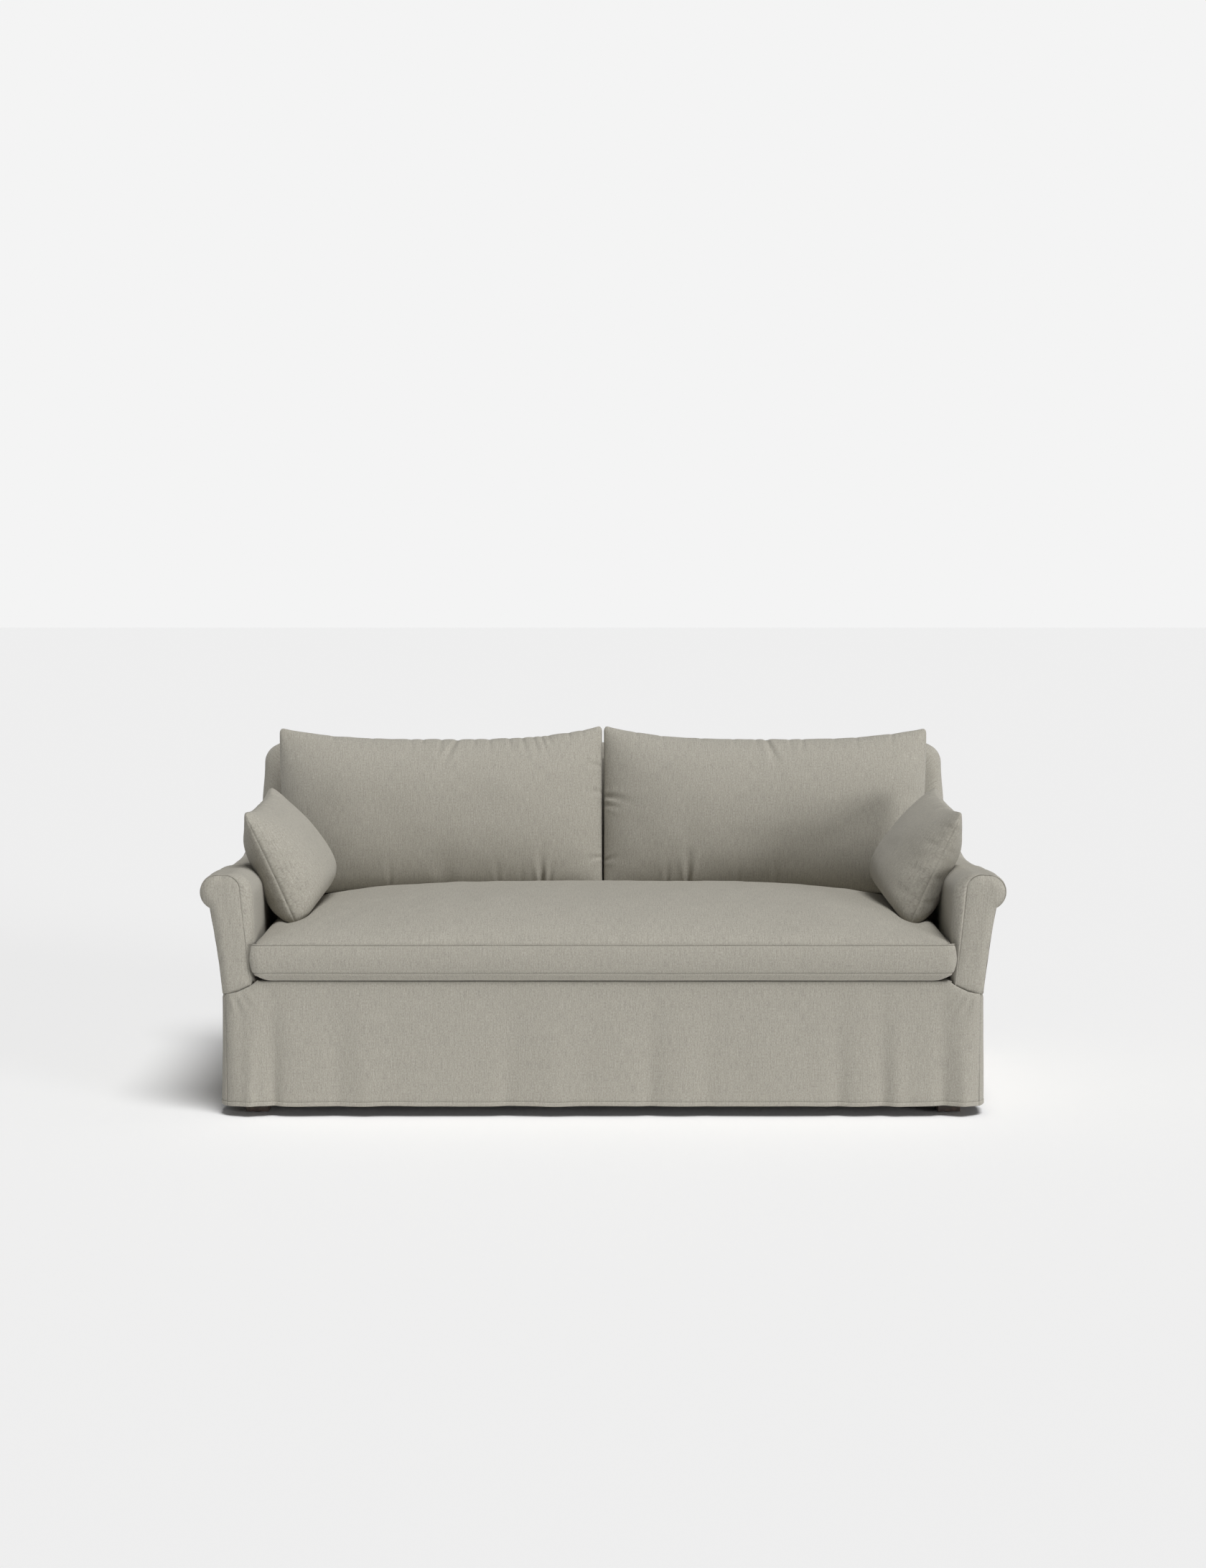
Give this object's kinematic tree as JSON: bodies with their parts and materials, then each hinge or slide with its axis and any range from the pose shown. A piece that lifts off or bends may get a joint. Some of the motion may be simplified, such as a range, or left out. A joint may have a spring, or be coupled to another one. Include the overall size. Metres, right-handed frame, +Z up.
{
  "type": "rolled arm sofa",
  "caption": "Slipcovered sofa with small rolled arms, a bench seat cushion, loose knife-edge back cushions, throw pillows and a floor-length skirt",
  "frame": {"origin": "middle of the footprint, on the floor", "axes": "+X to the sitter's left, as seen from the front it points right; +Y towards the back; +Z up"},
  "size_m": [2.032, 0.965, 0.9366],
  "materials": {
    "slipcover": "plain-weave washed linen, greige",
    "padding": "polyester and cotton batting",
    "cushion_fill": "feather and foam filling in ticking",
    "webbing": "jute webbing",
    "burlap": "hessian cloth",
    "dust_cloth": "black non-woven cambric",
    "spring_steel": "drawn spring wire and stamped clips",
    "plywood": "sawn birch plywood",
    "frame_wood": "planed kiln-dried hardwood",
    "foot_wood": "stained hardwood, satin",
    "glide": "moulded nylon"
  },
  "bodies": {
    "frame": {"arm_cover_left": "slipcover", "arm_cover_right": "slipcover", "arm_facing_left": "slipcover", "arm_facing_right": "slipcover", "arm_front_board_left": "plywood", "arm_front_board_right": "plywood", "arm_lower_rail_left": "frame_wood", "arm_lower_rail_right": "frame_wood", "arm_pad_left": "padding", "arm_pad_right": "padding", "arm_top_rail_left": "frame_wood", "arm_top_rail_right": "frame_wood", "back_centre_post": "frame_wood", "back_cover": "slipcover", "back_lower_rail": "frame_wood", "back_pad": "padding", "back_post_left": "frame_wood", "back_post_right": "frame_wood", "back_top_rail": "frame_wood", "back_webbing": "webbing", "corner_blocks": "frame_wood", "deck_burlap": "burlap", "deck_cover": "slipcover", "deck_pad": "padding", "dust_cover": "dust_cloth", "foot_centre": "foot_wood", "foot_front_left": "foot_wood", "foot_front_right": "foot_wood", "foot_glides": "glide", "foot_rear_left": "foot_wood", "foot_rear_right": "foot_wood", "front_edge_roll": "padding", "front_seat_rail": "frame_wood", "outside_back_panel": "slipcover", "rear_seat_rail": "frame_wood", "seat_brace_centre": "frame_wood", "seat_brace_left": "frame_wood", "seat_brace_right": "frame_wood", "seat_springs": "spring_steel", "side_seat_rail_left": "frame_wood", "side_seat_rail_right": "frame_wood", "skirt_back": "slipcover", "skirt_front": "slipcover", "skirt_left": "slipcover", "skirt_right": "slipcover", "spring_clips": "spring_steel", "spring_tie_wires": "spring_steel"},
    "seat_cushion": {"seat_cushion_cover": "slipcover", "seat_cushion_core": "cushion_fill"},
    "back_cushion_left": {"back_cushion_cover_left": "slipcover", "back_cushion_fill_left": "cushion_fill"},
    "back_cushion_right": {"back_cushion_cover_right": "slipcover", "back_cushion_fill_right": "cushion_fill"},
    "throw_pillow_left": {"throw_pillow_cover_left": "slipcover", "throw_pillow_fill_left": "cushion_fill"},
    "throw_pillow_right": {"throw_pillow_cover_right": "slipcover", "throw_pillow_fill_right": "cushion_fill"}
  },
  "joints": [
    {"name": "seat_cushion_lift", "type": "slide", "parent": "frame", "child": "seat_cushion", "axis": [0, 0, 1], "range_m": [0, 0.35]},
    {"name": "back_cushion_left_lift", "type": "slide", "parent": "seat_cushion", "child": "back_cushion_left", "axis": [0, 0, 1], "range_m": [0, 0.3]},
    {"name": "back_cushion_right_lift", "type": "slide", "parent": "seat_cushion", "child": "back_cushion_right", "axis": [0, 0, 1], "range_m": [0, 0.3]},
    {"name": "throw_pillow_left_lift", "type": "slide", "parent": "seat_cushion", "child": "throw_pillow_left", "axis": [0, 0, 1], "range_m": [0, 0.3]},
    {"name": "throw_pillow_right_lift", "type": "slide", "parent": "seat_cushion", "child": "throw_pillow_right", "axis": [0, 0, 1], "range_m": [0, 0.3]}
  ]
}
